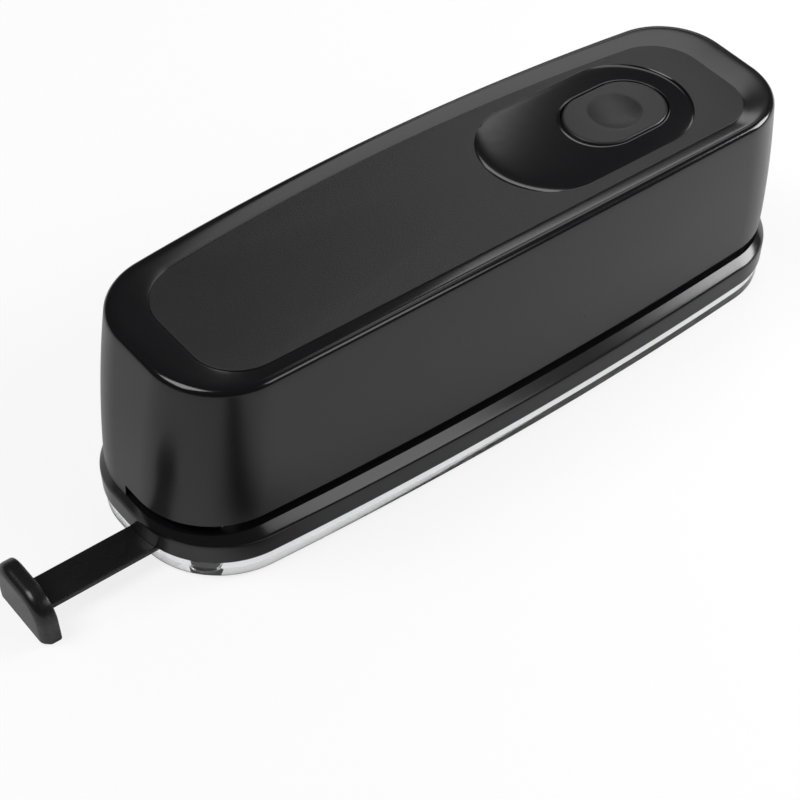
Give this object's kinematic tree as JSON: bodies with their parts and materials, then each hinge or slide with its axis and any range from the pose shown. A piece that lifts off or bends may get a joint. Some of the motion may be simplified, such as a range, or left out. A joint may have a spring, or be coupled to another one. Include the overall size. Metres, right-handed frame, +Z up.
{
  "type": "electric hole punch",
  "caption": "Motor-driven desk hole punch with a long paper slot, push button, pull-out edge guide, clear chip tray and cam-driven punch pins.",
  "frame": {"origin": "centre of the footprint on the desk, between the guide head and the right end of the base", "axes": "+X along the punch from the edge guide to the button end, -Y towards the paper slot side, +Z up"},
  "size_m": [0.309, 0.0804, 0.0783],
  "materials": {
    "cover": "satin black, fine grain on the walls, glossy sloped border",
    "panel": "fine-grained matte black",
    "bezel": "polished black",
    "button": "fine-grained matte black",
    "base": "polished black",
    "clear_plastic": "clear, polished",
    "rubber": "matte",
    "guide": "satin black",
    "steel": "ground",
    "plated_steel": "zinc plated sheet",
    "tool_steel": "ground and hardened",
    "bronze": "turned",
    "gear_plastic": "natural acetal",
    "inner_plastic": "moulded black",
    "battery": "plain printed sleeve, no marks",
    "contact": "nickel plated",
    "board": "solder resist"
  },
  "bodies": {
    "housing": {"base": "base", "die_plate": "steel", "top_cover": "cover", "top_panel": "panel", "button_bezel": "bezel", "punch_frame": "plated_steel", "guide_bushes": "bronze", "paper_guide": "inner_plastic", "bar_guide_pins": "steel", "gear_shafts": "steel", "shaft_clips": "steel", "motor_body": "plated_steel", "motor_end_cap": "inner_plastic", "motor_screws": "steel", "battery_box": "inner_plastic", "batteries": "battery", "battery_contacts": "contact", "dc_jack": "inner_plastic", "circuit_board": "board", "board_screws": "steel", "micro_switch": "inner_plastic", "case_screws": "steel", "frame_screws": "steel"},
    "button": {"push_button": "button"},
    "plunger": {"switch_plunger": "gear_plastic"},
    "guide": {"edge_guide": "guide"},
    "tray": {"chip_tray": "clear_plastic", "rubber_feet": "rubber"},
    "door": {"battery_door": "cover"},
    "cam_slide": {"cam_bar": "steel"},
    "punch_left": {"punch_pin_left": "tool_steel", "cross_pin_left": "tool_steel"},
    "punch_middle": {"punch_pin_middle": "tool_steel", "cross_pin_middle": "tool_steel"},
    "punch_right": {"punch_pin_right": "tool_steel", "cross_pin_right": "tool_steel"},
    "output_gear": {"output_gear": "gear_plastic"},
    "reduction_gear": {"reduction_gear": "gear_plastic"},
    "motor_rotor": {"motor_shaft": "steel", "motor_pinion": "bronze"}
  },
  "joints": [
    {"name": "cam_slide", "type": "slide", "parent": "housing", "child": "cam_slide", "axis": [1, 0, 0], "range_m": [0, 0.0075]},
    {"name": "punch_left_slide", "type": "slide", "parent": "housing", "child": "punch_left", "axis": [0, 0, -1], "range_m": [0, 0.006]},
    {"name": "punch_middle_slide", "type": "slide", "parent": "housing", "child": "punch_middle", "axis": [0, 0, -1], "range_m": [0, 0.006]},
    {"name": "punch_right_slide", "type": "slide", "parent": "housing", "child": "punch_right", "axis": [0, 0, -1], "range_m": [0, 0.006]},
    {"name": "output_gear_spin", "type": "hinge", "parent": "housing", "child": "output_gear", "pos_m": [-0.0179, -0.01255, 0.0501], "axis": [0, 1, 0], "range_deg": [-61.4, 0]},
    {"name": "reduction_gear_spin", "type": "hinge", "parent": "housing", "child": "reduction_gear", "pos_m": [-0.0403, -0.01155, 0.0501], "axis": [0, 1, 0], "range_deg": [0, 184.2]},
    {"name": "motor_spin", "type": "hinge", "parent": "housing", "child": "motor_rotor", "pos_m": [-0.0627, -0.00955, 0.0501], "axis": [0, 1, 0], "range_deg": [-552.6, 0]},
    {"name": "button_press", "type": "slide", "parent": "housing", "child": "button", "axis": [0, 0, -1], "range_m": [0, 0.0018], "stiffness_N_per_m": 600, "springref_m": -0.0008},
    {"name": "plunger_press", "type": "slide", "parent": "housing", "child": "plunger", "axis": [0, 0, -1], "range_m": [0, 0.0018]},
    {"name": "guide_slide", "type": "slide", "parent": "housing", "child": "guide", "axis": [1, 0, 0], "range_m": [-0.004, 0.036]},
    {"name": "tray_pull", "type": "slide", "parent": "housing", "child": "tray", "axis": [0, 0, -1], "range_m": [0, 0.02]},
    {"name": "door_lift", "type": "slide", "parent": "housing", "child": "door", "axis": [0, 1, 0], "range_m": [0, 0.015]}
  ],
  "couplings": [
    {"joint": "punch_left_slide", "follows": "cam_slide", "ratio": 0.8},
    {"joint": "punch_middle_slide", "follows": "cam_slide", "ratio": 0.8},
    {"joint": "punch_right_slide", "follows": "cam_slide", "ratio": 0.8},
    {"joint": "output_gear_spin", "follows": "cam_slide", "rad_per_m": -142.86},
    {"joint": "reduction_gear_spin", "follows": "cam_slide", "rad_per_m": 428.57},
    {"joint": "motor_spin", "follows": "cam_slide", "rad_per_m": -1285.7},
    {"joint": "plunger_press", "follows": "button_press", "ratio": 1}
  ]
}
